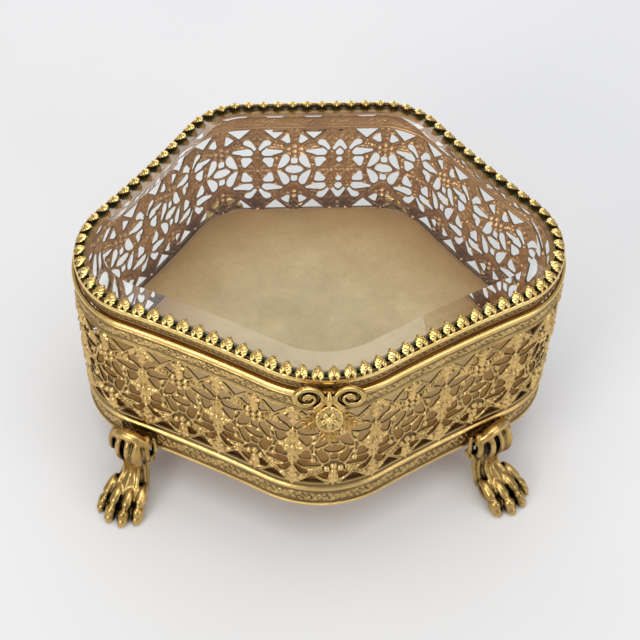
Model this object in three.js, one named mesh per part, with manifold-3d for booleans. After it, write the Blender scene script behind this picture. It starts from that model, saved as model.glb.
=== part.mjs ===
// Vanity trinket box: a pierced gilt-brass body on four lion-paw feet, with a
// bevelled glass lid held by a crown of bent teeth and hinged at the back.
// Millimetres, +Z up, front towards -Y. The origin is under the middle, on the table.
import * as THREE from 'three';
import { mergeVertices } from 'three/addons/utils/BufferGeometryUtils.js';
import Module from 'manifold-3d';

const wasm = await Module();
wasm.setup();

// ---- Driving dimensions ----

// Plan of the lid: five round corners joined by slightly hollow sides.
const PLAN_CORNERS = [
  { x: 0, y: -25.1, r: 34.4 },
  { x: 49.6, y: -9.2, r: 25.3 },
  { x: 22.1, y: 30.5, r: 23.0 },
  { x: -22.1, y: 30.5, r: 23.0 },
  { x: -49.6, y: -9.2, r: 25.3 },
];
const STRAIGHT = 1e5;
const SIDE_RADII = [479, 342, STRAIGHT, 342, 479];
const PLAIN_RADII = [STRAIGHT, STRAIGHT, STRAIGHT, STRAIGHT, STRAIGHT];
const CORNER_STEPS = 8;
const SIDE_STEPS = 3;

// Heights above the table.
const BODY_BOTTOM = 21.5;
const LID_SPLIT = 83.0;
const CROWN_LEVEL = 88.9;
const TOOTH_TIP_LEVEL = 90.1;
const GLASS_TOP = 90.5;

const CLEARANCE = 0.3;

// Body wall: one pierced strip, with a moulded rib above its lower border.
const WALL_OUTSET = 1.33;
const WALL_THICKNESS = 1.2;
const WALL_INNER = WALL_OUTSET - WALL_THICKNESS;
const RIB_LEVEL = 31.3;
const RIB_HALF_HEIGHT = 0.9;
const RIB_PROUD = 0.7;
const RIM_HEIGHT = 1.7;
const RIM_PROUD = 0.5;
const CELL_COUNT = 16;
const CELL_MIDDLE = 54.3;

// Crown of teeth round the glass.
const TOOTH_COUNT = 84;
const TOOTH_INSET = 2.5;
const TOOTH_THICKNESS = 0.45;
const CROWN_STRIP_BOTTOM = 86.6;

// Lid band and glass.
const BAND_THICKNESS = 0.9;
const LEDGE_LEVEL = 86.5;
const LEDGE_THICKNESS = 0.7;
const LEDGE_DEPTH = 4.0;
const LIP_INSET = 2.6;
const LIP_DEPTH = 2.2;
const GLASS_INSET = BAND_THICKNESS + 0.8;
const GLASS_EDGE = 1.5;
const BEVEL_WIDTH = 8.4;

// Floor of the box and its cushion.
const BASE_THICKNESS = 1.0;
const BOARD_BOTTOM = 26.2;
const BOARD_THICKNESS = 2.0;
const PAD_TOP = 39.0;
const PAD_INSET = 1.3;
const PAD_EDGE_ROUND = 1.6;

// Hinge at the middle of the back.
const BACK_FACE = PLAN_CORNERS[2].y + PLAN_CORNERS[2].r;
const HINGE_Y = BACK_FACE + WALL_OUTSET + 2.05;
const HINGE_Z = LID_SPLIT - 0.5;
const KNUCKLE_RADIUS = 1.2;
const HINGE_BORE = 0.62;
const PIN_RADIUS = 0.52;
const HINGE_WIDTH = 26;
const KNUCKLE_GAP = 0.3;
const LEAF_THICKNESS = 0.7;
const ROUND_SIDES = 16;

// Feet: horizontal sections, outward distance u, half sizes along and across.
const FOOT_SECTIONS = [
  { z: 0, u: 11.4, along: 8.9, across: 7.4 },
  { z: 1.6, u: 11.4, along: 9.9, across: 8.1 },
  { z: 4.5, u: 10.4, along: 9.4, across: 7.9 },
  { z: 7.5, u: 8.2, along: 7.8, across: 6.8 },
  { z: 10.5, u: 5.2, along: 5.6, across: 5.3 },
  { z: 13.5, u: 3.2, along: 4.3, across: 4.5 },
  { z: 17.0, u: 2.9, along: 4.8, across: 5.2 },
  { z: 20.4, u: 3.4, along: 5.2, across: 6.4 },
  { z: 21.1, u: 5.5, along: 3.9, across: 6.9 },
  { z: 25.0, u: 5.6, along: 4.1, across: 7.4 },
  { z: 29.0, u: 5.4, along: 3.9, across: 7.2 },
  { z: 31.6, u: 5.1, along: 3.0, across: 5.8 },
  { z: 32.6, u: 4.8, along: 1.8, across: 3.8 },
];
const FOOT_SIDES = 16;
const FOOT_TAB = { inner: -12, outer: 0, halfWidth: 4, bottom: 18.2, top: 21.1 };
const FOOT_SCREW_U = -8;
const SCREW_SHAFT = 1.2;
const SCREW_HOLE = 1.6;
const SCREW_HEAD = 2.7;
// Each foot: the corner it hangs from, where on that corner, and its heading, degrees.
const FEET = [
  { name: 'front_left', corner: 4, at: 248, heading: 240 },
  { name: 'front_right', corner: 1, at: 278, heading: 304 },
  { name: 'back_left', corner: 3, at: 105, heading: 115 },
  { name: 'back_right', corner: 2, at: 75, heading: 65 },
];

// Thumb ornament on the front of the lid.
const ORNAMENT_BACK = PLAN_CORNERS[0].y - PLAN_CORNERS[0].r - WALL_OUTSET - 1.1;
const LEAF_SPRAY_DEPTH = 1.0;
const BOW_DEPTH = 2.0;
const FLOWER_DEPTH = 1.8;
const BOW_Z = 84.2;
const BOW_LOOP_X = 5.8;
const FLOWER_Z = 77.5;
const LEAF_TIP_Z = 62.7;
const RIVET_RADIUS = 0.6;
const RIVET_HOLE = 0.9;

// ---- Colours ----

const GILT = { color: 0xb08d4c, roughness: 0.38, metalness: 1 };
const GILT_BRIGHT = { color: 0xd4a957, roughness: 0.25, metalness: 1 };
const GILT_DARK = { color: 0x7d6236, roughness: 0.5, metalness: 1 };
const STEEL = { color: 0x9a9488, roughness: 0.4, metalness: 1 };
const VELVET = { color: 0xb5a17b, roughness: 0.95, metalness: 0 };
const CARD = { color: 0x8b7355, roughness: 0.9, metalness: 0 };
const GLASS = { color: 0xe4ece6, roughness: 0.05, metalness: 0, transparent: true, opacity: 0.35 };

// ---- Plan outline ----

// Centre of a circle of radius big that touches two corner circles from outside.
function sideCentre(a, b, big) {
  const dx = b.x - a.x;
  const dy = b.y - a.y;
  const span = Math.hypot(dx, dy);
  const reachA = big + a.r;
  const reachB = big + b.r;
  const along = (reachA ** 2 - reachB ** 2 + span ** 2) / (2 * span);
  const away = Math.sqrt(reachA ** 2 - along ** 2);
  return {
    x: a.x + (dx * along + dy * away) / span,
    y: a.y + (dy * along - dx * away) / span,
  };
}

// Points of the plan with their outward normals, anticlockwise, from the front corner on.
function planPoints(sideRadii) {
  const centres = PLAN_CORNERS.map((corner, i) => {
    const next = PLAN_CORNERS[(i + 1) % PLAN_CORNERS.length];
    return sideCentre(corner, next, sideRadii[i]);
  });
  const points = [];
  const full = 2 * Math.PI;
  PLAN_CORNERS.forEach((corner, i) => {
    const before = centres[(i + PLAN_CORNERS.length - 1) % PLAN_CORNERS.length];
    const after = centres[i];
    const start = Math.atan2(before.y - corner.y, before.x - corner.x);
    let end = Math.atan2(after.y - corner.y, after.x - corner.x);
    while (end < start) end += full;
    for (let k = 0; k <= CORNER_STEPS; k += 1) {
      const angle = start + ((end - start) * k) / CORNER_STEPS;
      const nx = Math.cos(angle);
      const ny = Math.sin(angle);
      points.push({ x: corner.x + corner.r * nx, y: corner.y + corner.r * ny, nx, ny });
    }
    const next = PLAN_CORNERS[(i + 1) % PLAN_CORNERS.length];
    const from = Math.atan2(corner.y - after.y, corner.x - after.x);
    let to = Math.atan2(next.y - after.y, next.x - after.x);
    while (to > from + Math.PI) to -= full;
    while (to < from - Math.PI) to += full;
    for (let k = 1; k < SIDE_STEPS; k += 1) {
      const angle = from + ((to - from) * k) / SIDE_STEPS;
      const nx = -Math.cos(angle);
      const ny = -Math.sin(angle);
      points.push({ x: after.x - sideRadii[i] * nx, y: after.y - sideRadii[i] * ny, nx, ny });
    }
  });
  return points;
}

const PLAN = planPoints(SIDE_RADII);
const PLAIN_PLAN = planPoints(PLAIN_RADII);

// The plan cut into equal steps along its edge; step 0 is the middle of the front.
function evenPlan(count) {
  const lengths = [0];
  PLAN.forEach((p, i) => {
    const q = PLAN[(i + 1) % PLAN.length];
    lengths.push(lengths[i] + Math.hypot(q.x - p.x, q.y - p.y));
  });
  const total = lengths[PLAN.length];
  const front = lengths[CORNER_STEPS / 2];
  const steps = [];
  for (let k = 0; k < count; k += 1) {
    const s = (front + (total * k) / count) % total;
    let i = 0;
    while (lengths[i + 1] < s) i += 1;
    const t = (s - lengths[i]) / (lengths[i + 1] - lengths[i]);
    const p = PLAN[i];
    const q = PLAN[(i + 1) % PLAN.length];
    const nx = p.nx + (q.nx - p.nx) * t;
    const ny = p.ny + (q.ny - p.ny) * t;
    const size = Math.hypot(nx, ny);
    steps.push({
      x: p.x + (q.x - p.x) * t,
      y: p.y + (q.y - p.y) * t,
      nx: nx / size,
      ny: ny / size,
    });
  }
  return steps;
}

// ---- Solids ----

// A closed mesh from rows of points; the rows close on themselves, and so does each row.
function ringMesh(columns) {
  const rows = columns[0].length;
  const position = columns.flat(2);
  const index = [];
  columns.forEach((_, i) => {
    const here = i * rows;
    const there = ((i + 1) % columns.length) * rows;
    for (let j = 0; j < rows; j += 1) {
      const next = (j + 1) % rows;
      index.push(here + j, there + next, there + j);
      index.push(here + j, here + next, there + next);
    }
  });
  return geometry(position, index);
}

// A closed mesh through a stack of rings, each ring anticlockwise from above, lowest first.
function stackMesh(rings) {
  const sides = rings[0].length;
  const position = rings.flat(2);
  const index = [];
  for (let k = 0; k + 1 < rings.length; k += 1) {
    for (let i = 0; i < sides; i += 1) {
      const a = k * sides + i;
      const b = k * sides + ((i + 1) % sides);
      index.push(a, b, b + sides, a, b + sides, a + sides);
    }
  }
  const flat = rings[0].map(([x, y]) => new THREE.Vector2(x, y));
  const top = (rings.length - 1) * sides;
  const topFlat = rings[rings.length - 1].map(([x, y]) => new THREE.Vector2(x, y));
  THREE.ShapeUtils.triangulateShape(flat, []).forEach(([a, b, c]) => index.push(a, c, b));
  THREE.ShapeUtils.triangulateShape(topFlat, []).forEach(([a, b, c]) => {
    index.push(top + a, top + b, top + c);
  });
  return geometry(position, index);
}

function geometry(position, index) {
  const result = new THREE.BufferGeometry();
  result.setAttribute('position', new THREE.Float32BufferAttribute(position, 3));
  result.setIndex(index);
  return result;
}

// A ring that keeps one section, [outward, height] pairs clockwise, all round the plan.
function planRing(section, points = PLAN) {
  return ringMesh(points.map((p) => section.map(([out, z]) => [
    p.x + p.nx * out,
    p.y + p.ny * out,
    z,
  ])));
}

// A plate that fills the plan, with [outward, height] pairs up its edge.
function planPlate(edge, points = PLAN) {
  return stackMesh(edge.map(([out, z]) => points.map((p) => [
    p.x + p.nx * out,
    p.y + p.ny * out,
    z,
  ])));
}

function toSolid(source) {
  const bare = source.clone();
  bare.deleteAttribute('normal');
  bare.deleteAttribute('uv');
  const merged = mergeVertices(bare, 1e-4);
  return new wasm.Manifold(new wasm.Mesh({
    numProp: 3,
    vertProperties: new Float32Array(merged.attributes.position.array),
    triVerts: new Uint32Array(merged.index.array),
  }));
}

function fromSolid(solid) {
  const mesh = solid.getMesh();
  return geometry(Array.from(mesh.vertProperties), Array.from(mesh.triVerts));
}

function join(...pieces) {
  return fromSolid(pieces.map(toSolid).reduce((a, b) => a.add(b)));
}

function cut(body, ...tools) {
  return fromSolid(tools.map(toSolid).reduce((a, b) => a.subtract(b), toSolid(body)));
}

function block(x0, x1, y0, y1, z0, z1) {
  const box = new THREE.BoxGeometry(x1 - x0, y1 - y0, z1 - z0);
  return box.translate((x0 + x1) / 2, (y0 + y1) / 2, (z0 + z1) / 2);
}

// An upright cylinder between two heights.
function post(radius, x, y, z0, z1, sides = 12) {
  const cylinder = new THREE.CylinderGeometry(radius, radius, z1 - z0, sides);
  return cylinder.rotateX(Math.PI / 2).translate(x, y, (z0 + z1) / 2);
}

// A flat shape drawn as seen from the front, [x, z], given a depth towards the front.
function frontPlate(shape, back, depth, curveSegments = 5) {
  const plate = new THREE.ExtrudeGeometry(shape, { depth, bevelEnabled: false, curveSegments });
  return plate.rotateX(Math.PI / 2).translate(0, back, 0);
}

// ---- Body ----

function filigreeWall() {
  const out = WALL_OUTSET;
  const top = LID_SPLIT - 0.2 - RIM_HEIGHT - CLEARANCE;
  const wall = planRing([
    [WALL_INNER, BODY_BOTTOM],
    [WALL_INNER, top],
    [out, top],
    [out, RIB_LEVEL + RIB_HALF_HEIGHT],
    [out + RIB_PROUD, RIB_LEVEL],
    [out, RIB_LEVEL - RIB_HALF_HEIGHT],
    [out, BODY_BOTTOM],
  ]);
  const holes = [];
  evenPlan(2 * CELL_COUNT).forEach((p, k) => {
    const heights = k % 2 === 1 ? [CELL_MIDDLE] : [CELL_MIDDLE - 13, CELL_MIDDLE + 13];
    const hole = k % 2 === 1 ? { wide: 4.2, high: 2.8 } : { wide: 3.2, high: 3.6 };
    heights.forEach((z) => {
      holes.push(placeTool(hole, p, z));
    });
  });
  return cut(wall, ...holes);
}

// An eight-sided punch pointing along the wall's normal at one place.
function placeTool(hole, p, z) {
  const punch = new THREE.CylinderGeometry(1, 1, 6, 8);
  punch.scale(hole.wide, 1, hole.high);
  punch.rotateZ(Math.atan2(p.ny, p.nx) - Math.PI / 2);
  return punch.translate(p.x + p.nx * 0.7, p.y + p.ny * 0.7, z);
}

function rimWire() {
  const top = LID_SPLIT - 0.2;
  const outer = WALL_OUTSET + RIM_PROUD;
  const inner = WALL_INNER - RIM_PROUD;
  const soft = 0.6;
  return planRing([
    [inner, top - RIM_HEIGHT],
    [inner, top],
    [outer - soft, top],
    [outer, top - soft],
    [outer, top - RIM_HEIGHT + soft],
    [outer - soft, top - RIM_HEIGHT],
  ]);
}

function footFrame(foot) {
  const corner = PLAN_CORNERS[foot.corner];
  const at = THREE.MathUtils.degToRad(foot.at);
  const heading = THREE.MathUtils.degToRad(foot.heading);
  const reach = corner.r + WALL_OUTSET;
  return new THREE.Matrix4()
    .makeTranslation(corner.x + reach * Math.cos(at), corner.y + reach * Math.sin(at), 0)
    .multiply(new THREE.Matrix4().makeRotationZ(heading));
}

function screwPlace(foot) {
  return new THREE.Vector3(FOOT_SCREW_U, 0, 0).applyMatrix4(footFrame(foot));
}

function basePlate() {
  const inset = WALL_INNER - CLEARANCE;
  const plate = planPlate([[inset, BODY_BOTTOM], [inset, BODY_BOTTOM + BASE_THICKNESS]]);
  const holes = FEET.map((foot) => {
    const place = screwPlace(foot);
    return post(SCREW_HOLE, place.x, place.y, BODY_BOTTOM - 2, BODY_BOTTOM + 4);
  });
  return cut(plate, ...holes);
}

function padBoard() {
  const inset = WALL_INNER - PAD_INSET - 0.7;
  return planPlate([[inset, BOARD_BOTTOM], [inset, BOARD_BOTTOM + BOARD_THICKNESS]], PLAIN_PLAN);
}

function velvetPad() {
  const inset = WALL_INNER - PAD_INSET;
  const bottom = BOARD_BOTTOM + BOARD_THICKNESS + CLEARANCE;
  return planPlate([
    [inset, bottom],
    [inset, PAD_TOP - PAD_EDGE_ROUND],
    [inset - PAD_EDGE_ROUND * 0.3, PAD_TOP - PAD_EDGE_ROUND * 0.3],
    [inset - PAD_EDGE_ROUND, PAD_TOP],
  ], PLAIN_PLAN);
}

function foot(spec) {
  const rings = FOOT_SECTIONS.map((section) => {
    const ring = [];
    for (let i = 0; i < FOOT_SIDES; i += 1) {
      const angle = (2 * Math.PI * i) / FOOT_SIDES;
      ring.push([
        section.u + section.along * Math.cos(angle),
        section.across * Math.sin(angle),
        section.z,
      ]);
    }
    return ring;
  });
  const tab = FOOT_TAB;
  const lug = block(tab.inner, tab.outer, -tab.halfWidth, tab.halfWidth, tab.bottom, tab.top);
  const hole = post(SCREW_HOLE, FOOT_SCREW_U, 0, tab.bottom - 2, tab.top + 2);
  return cut(join(stackMesh(rings), lug), hole).applyMatrix4(footFrame(spec));
}

function footScrew(spec) {
  const headTop = FOOT_TAB.bottom - CLEARANCE;
  const profile = [[0, headTop - 1.5], [SCREW_HEAD, headTop - 1.2], [SCREW_HEAD, headTop],
    [SCREW_SHAFT, headTop], [SCREW_SHAFT, BOARD_BOTTOM - 0.6], [0, BOARD_BOTTOM - 0.6]];
  return lathe(profile, spec);
}

function footNut(spec) {
  const bottom = BODY_BOTTOM + BASE_THICKNESS + CLEARANCE;
  const top = BOARD_BOTTOM - 1.4;
  const profile = [[SCREW_HOLE, bottom], [SCREW_HEAD, bottom], [SCREW_HEAD, top],
    [SCREW_HOLE, top], [SCREW_HOLE, bottom]];
  return lathe(profile, spec, 6);
}

function lathe(profile, spec, sides = 12) {
  const points = profile.map(([r, z]) => new THREE.Vector2(r, z));
  const place = screwPlace(spec);
  return new THREE.LatheGeometry(points, sides)
    .rotateX(Math.PI / 2)
    .translate(place.x, place.y, 0);
}

// ---- Hinge ----

// The hinge is cut into five equal knuckles; the lid has the second and the fourth.
function knuckleSpan(i) {
  const step = HINGE_WIDTH / 5;
  const x0 = -HINGE_WIDTH / 2 + i * step;
  return [x0 + KNUCKLE_GAP / 2, x0 + step - KNUCKLE_GAP / 2];
}

// A piece of constant section along X from a drawing in [y, z].
function alongX(outline, x0, x1, hole) {
  const shape = new THREE.Shape(outline.map(([y, z]) => new THREE.Vector2(y, z)));
  if (hole) shape.holes.push(hole);
  const bar = new THREE.ExtrudeGeometry(shape, { depth: x1 - x0, bevelEnabled: false });
  return bar.rotateX(Math.PI / 2).rotateZ(Math.PI / 2).translate(x0, 0, 0);
}

function round(radius, y, z) {
  return Array.from({ length: ROUND_SIDES }, (_, i) => {
    const angle = (2 * Math.PI * (i + 0.5)) / ROUND_SIDES;
    return [y + radius * Math.cos(angle), z + radius * Math.sin(angle)];
  });
}

function knuckles(which, plate, arm) {
  const pieces = [plate];
  which.forEach((i) => {
    const [x0, x1] = knuckleSpan(i);
    pieces.push(alongX(round(KNUCKLE_RADIUS, HINGE_Y, HINGE_Z), x0, x1), arm(x0, x1));
  });
  const half = HINGE_WIDTH / 2 + 1;
  return cut(join(...pieces), alongX(round(HINGE_BORE, HINGE_Y, HINGE_Z), -half, half));
}

function hingeLeafBody() {
  const half = HINGE_WIDTH / 2;
  const back = BACK_FACE + WALL_OUTSET + RIM_PROUD + CLEARANCE;
  const front = back + LEAF_THICKNESS;
  const low = HINGE_Z - 11;
  const plate = block(-half, half, back, front, low, HINGE_Z - KNUCKLE_RADIUS - 0.6);
  const arm = (x0, x1) => block(x0, x1, back, front, HINGE_Z - 2.5, HINGE_Z - 0.2);
  return knuckles([0, 2, 4], plate, arm);
}

function hingeLeafLid() {
  const half = HINGE_WIDTH / 2;
  const face = BACK_FACE + CLEARANCE;
  const plate = block(-half, half, face, face + LEAF_THICKNESS, LID_SPLIT + 0.3, CROWN_LEVEL - 1.2);
  const arm = (x0, x1) => block(x0, x1, face, HINGE_Y, LID_SPLIT + 0.15, LID_SPLIT + 0.85);
  return knuckles([1, 3], plate, arm);
}

function hingePin() {
  const half = HINGE_WIDTH / 2 + 0.6;
  return alongX(round(PIN_RADIUS, HINGE_Y, HINGE_Z), -half, half);
}

// ---- Lid ----

function lidBand() {
  const bottom = LID_SPLIT + CLEARANCE;
  const ledgeBottom = LEDGE_LEVEL - LEDGE_THICKNESS;
  return planRing([
    [-BAND_THICKNESS, bottom],
    [-BAND_THICKNESS, ledgeBottom],
    [-LIP_INSET, ledgeBottom],
    [-LIP_INSET, LID_SPLIT - LIP_DEPTH],
    [-LIP_INSET - BAND_THICKNESS, LID_SPLIT - LIP_DEPTH],
    [-LIP_INSET - BAND_THICKNESS, ledgeBottom],
    [-LEDGE_DEPTH, ledgeBottom],
    [-LEDGE_DEPTH, LEDGE_LEVEL],
    [-BAND_THICKNESS, LEDGE_LEVEL],
    [-BAND_THICKNESS, CROWN_LEVEL - 0.7],
    [-0.5, CROWN_LEVEL - 0.7],
    [-0.5, CROWN_STRIP_BOTTOM - CLEARANCE],
    [0, CROWN_STRIP_BOTTOM - CLEARANCE],
    [0, bottom],
  ]);
}

// The strip of teeth stands on the band's step and bends in over the glass.
function galleryStrip() {
  const inner = -0.2;
  const outer = inner + TOOTH_THICKNESS;
  const columns = evenPlan(2 * TOOTH_COUNT).map((p, k) => {
    const tip = k % 2 === 1;
    const inset = tip ? TOOTH_INSET : 0.25;
    const height = tip ? TOOTH_TIP_LEVEL : CROWN_LEVEL + 0.2;
    const section = [
      [inner, CROWN_STRIP_BOTTOM],
      [inner, CROWN_LEVEL - 0.3],
      [outer - inset, height],
      [outer, CROWN_LEVEL - 0.1],
      [outer, CROWN_STRIP_BOTTOM],
    ];
    return section.map(([out, z]) => [p.x + p.nx * out, p.y + p.ny * out, z]);
  });
  return ringMesh(columns);
}

function glassPane() {
  const bottom = LEDGE_LEVEL + CLEARANCE;
  return planPlate([
    [-GLASS_INSET, bottom],
    [-GLASS_INSET, bottom + GLASS_EDGE],
    [-BEVEL_WIDTH, GLASS_TOP],
  ]);
}

// ---- Thumb ornament ----

function ellipse(cx, cz, rx, rz, turn = 0) {
  const shape = new THREE.Shape();
  shape.absellipse(cx, cz, rx, rz, 0, 2 * Math.PI, false, turn);
  return shape;
}

function rivetPunch() {
  return frontPlate(ellipse(0, FLOWER_Z, RIVET_HOLE, RIVET_HOLE), ORNAMENT_BACK + 2, 12);
}

function leafSpray() {
  const tip = new THREE.Shape();
  tip.moveTo(0, LEAF_TIP_Z);
  tip.quadraticCurveTo(4.6, LEAF_TIP_Z + 6, 2.4, FLOWER_Z - 4);
  tip.lineTo(-2.4, FLOWER_Z - 4);
  tip.quadraticCurveTo(-4.6, LEAF_TIP_Z + 6, 0, LEAF_TIP_Z);
  const stem = ellipse(0, FLOWER_Z, 3.2, 6);
  const left = ellipse(-5.2, FLOWER_Z - 1.5, 1.8, 5.6, -0.25);
  const right = ellipse(5.2, FLOWER_Z - 1.5, 1.8, 5.6, 0.25);
  const bridge = ellipse(0, FLOWER_Z + 0.5, 5.6, 1.6);
  const plates = [tip, stem, left, right, bridge].map(
    (shape) => frontPlate(shape, ORNAMENT_BACK, LEAF_SPRAY_DEPTH),
  );
  return cut(join(...plates), rivetPunch());
}

function thumbBow() {
  const back = ORNAMENT_BACK - LEAF_SPRAY_DEPTH - CLEARANCE;
  const loops = [-1, 1].map((side) => {
    const loop = ellipse(side * BOW_LOOP_X, BOW_Z, 5.0, 4.6, side * -0.2);
    const eye = new THREE.Path();
    eye.absellipse(side * (BOW_LOOP_X + 0.5), BOW_Z, 2.4, 2.0, 0, 2 * Math.PI, true);
    loop.holes.push(eye);
    return frontPlate(loop, back, BOW_DEPTH);
  });
  const tongue = frontPlate(ellipse(0, FLOWER_Z + 1.5, 2.0, 6.0), back, BOW_DEPTH);
  const bandFace = PLAN_CORNERS[0].y - PLAN_CORNERS[0].r - CLEARANCE;
  const lug = block(-3, 3, back - BOW_DEPTH / 2, bandFace, LID_SPLIT + 0.6, LID_SPLIT + 1.8);
  return cut(join(...loops, tongue, lug), rivetPunch());
}

function claspFlower() {
  const back = ORNAMENT_BACK - LEAF_SPRAY_DEPTH - BOW_DEPTH - 2 * CLEARANCE;
  const petals = [0, 1, 2, 3, 4].map((i) => {
    const angle = Math.PI / 2 + (2 * Math.PI * i) / 5;
    const petal = ellipse(2.0 * Math.cos(angle), FLOWER_Z + 3.2 * Math.sin(angle), 1.9, 2.7);
    return frontPlate(petal, back, FLOWER_DEPTH, 3);
  });
  return cut(join(...petals, frontPlate(ellipse(0, FLOWER_Z, 2, 2.6), back, FLOWER_DEPTH, 3)),
    rivetPunch());
}

function claspRivet() {
  const front = ORNAMENT_BACK - LEAF_SPRAY_DEPTH - BOW_DEPTH - FLOWER_DEPTH - 3 * CLEARANCE;
  const tail = ORNAMENT_BACK + 0.5;
  const shaft = frontPlate(ellipse(0, FLOWER_Z, RIVET_RADIUS, RIVET_RADIUS), tail, tail - front);
  const head = frontPlate(ellipse(0, FLOWER_Z, 1.5, 1.5), front, 0.8);
  return join(shaft, head);
}

// ---- The object ----

const object = new THREE.Group();

function addPiece(name, shape, finish) {
  const mesh = new THREE.Mesh(shape, new THREE.MeshStandardMaterial(finish));
  mesh.name = name;
  object.add(mesh);
}

addPiece('filigree_wall', filigreeWall(), GILT);
addPiece('rim_wire', rimWire(), GILT_BRIGHT);
addPiece('base_plate', basePlate(), GILT_DARK);
addPiece('pad_board', padBoard(), CARD);
addPiece('velvet_pad', velvetPad(), VELVET);
FEET.forEach((spec) => {
  addPiece(`foot_${spec.name}`, foot(spec), GILT);
  addPiece(`foot_screw_${spec.name}`, footScrew(spec), STEEL);
  addPiece(`foot_nut_${spec.name}`, footNut(spec), STEEL);
});
addPiece('hinge_leaf_body', hingeLeafBody(), GILT);
addPiece('hinge_pin', hingePin(), STEEL);
addPiece('hinge_leaf_lid', hingeLeafLid(), GILT);
addPiece('lid_band', lidBand(), GILT);
addPiece('gallery_strip', galleryStrip(), GILT_BRIGHT);
addPiece('glass_pane', glassPane(), GLASS);
addPiece('thumb_bow', thumbBow(), GILT_BRIGHT);
addPiece('clasp_leaves', leafSpray(), GILT);
addPiece('clasp_flower', claspFlower(), GILT_BRIGHT);
addPiece('clasp_rivet', claspRivet(), GILT_BRIGHT);

// The origin goes under the middle of the whole box, on the table.
const extent = new THREE.Box3().setFromObject(object);
const middle = extent.getCenter(new THREE.Vector3());
object.position.set(-middle.x, -middle.y, -extent.min.z);

export default object;
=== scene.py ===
import math

import bmesh
import bpy
import numpy as np
from mathutils import Matrix, Vector


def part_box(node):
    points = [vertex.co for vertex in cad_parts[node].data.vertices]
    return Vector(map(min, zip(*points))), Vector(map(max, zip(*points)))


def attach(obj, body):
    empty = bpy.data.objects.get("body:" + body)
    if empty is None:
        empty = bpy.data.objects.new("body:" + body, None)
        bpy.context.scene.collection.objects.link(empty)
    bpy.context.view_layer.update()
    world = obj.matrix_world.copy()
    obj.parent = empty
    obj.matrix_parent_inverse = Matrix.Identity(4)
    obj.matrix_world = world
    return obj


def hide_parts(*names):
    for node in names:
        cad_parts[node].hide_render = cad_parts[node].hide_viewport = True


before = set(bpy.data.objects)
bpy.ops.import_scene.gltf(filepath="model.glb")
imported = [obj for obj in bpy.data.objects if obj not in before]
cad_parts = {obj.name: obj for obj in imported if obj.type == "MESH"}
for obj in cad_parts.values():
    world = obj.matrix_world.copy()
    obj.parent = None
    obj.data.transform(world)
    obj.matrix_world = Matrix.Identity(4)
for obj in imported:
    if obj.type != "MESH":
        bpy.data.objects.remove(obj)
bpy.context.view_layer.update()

# Millimetres are used throughout and turned into metres where a mesh is made.
MM = 0.001
FULL_TURN = 2.0 * math.pi

# ---- The plan ----
# Five round corners (x, y, radius), counterclockwise from the front one, joined by long
# inward arcs.
PLAN_CORNERS = [
    (0.0, -25.1, 34.4),
    (49.6, -9.2, 25.3),
    (22.1, 30.5, 23.0),
    (-22.1, 30.5, 23.0),
    (-49.6, -9.2, 25.3),
]
SIDE_RADII = [479.0, 342.0, 1e5, 342.0, 479.0]
WALL_OUTSET = 1.33
WALL_RELIEF = 0.7

# ---- Levels above the table ----
BODY_BOTTOM = 21.5
WALL_TOP = 80.8
CELL_MIDDLE = 54.3
RIB_LEVEL = 31.3
RIM_MIDDLE = 81.95
RIM_HALF = 0.85
BAND_BOTTOM = 82.95
STRIP_BOTTOM = 87.0
GLASS_BOTTOM = 86.8
GLASS_TOP = 90.5
PAD_BOTTOM = 28.5
PAD_TOP = 38.6

# ---- How finely each mesh is cut ----
WALL_COLUMNS = 1320
WALL_ROWS = 190
BAND_COLUMNS = 1680
BAND_ROWS = 24
TOOTH_COLUMNS = 26
TOOTH_ROWS = 34
SWEEP_COLUMNS = 480
GLASS_COLUMNS = 720
PAD_COLUMNS = 360

# ---- The pierced pattern ----
CELL_COUNT = 16
CELL_PITCH = 25.6
CELL_START = 5.5
FIRST_CELL = -8
FIELD_HALF = 19.6
TOOTH_COUNT = 84


def arcs(outset):
    """The plan moved outwards: each arc's centre, radius, sign and first and last angle."""
    corners = [(x, y, r + outset) for x, y, r in PLAN_CORNERS]
    radii = [r - outset for r in SIDE_RADII]
    count = len(corners)
    centres = []
    for i, (x, y, r) in enumerate(corners):
        x2, y2, r2 = corners[(i + 1) % count]
        span = math.hypot(x2 - x, y2 - y)
        along = ((radii[i] + r) ** 2 - (radii[i] + r2) ** 2 + span ** 2) / (2 * span)
        away = math.sqrt((radii[i] + r) ** 2 - along ** 2)
        ux, uy = (x2 - x) / span, (y2 - y) / span
        centres.append((x + ux * along + uy * away, y + uy * along - ux * away))
    result = []
    for i, (x, y, r) in enumerate(corners):
        bx, by = centres[i - 1]
        ax, ay = centres[i]
        start = math.atan2(by - y, bx - x)
        end = math.atan2(ay - y, ax - x)
        while end < start:
            end += FULL_TURN
        result.append((x, y, r, 1.0, start, end))
        x2, y2, r2 = corners[(i + 1) % count]
        first = math.atan2(y - ay, x - ax)
        last = math.atan2(y2 - ay, x2 - ax)
        while last > first + math.pi:
            last -= FULL_TURN
        while last < first - math.pi:
            last += FULL_TURN
        result.append((ax, ay, radii[i], -1.0, first, last))
    return result


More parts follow.
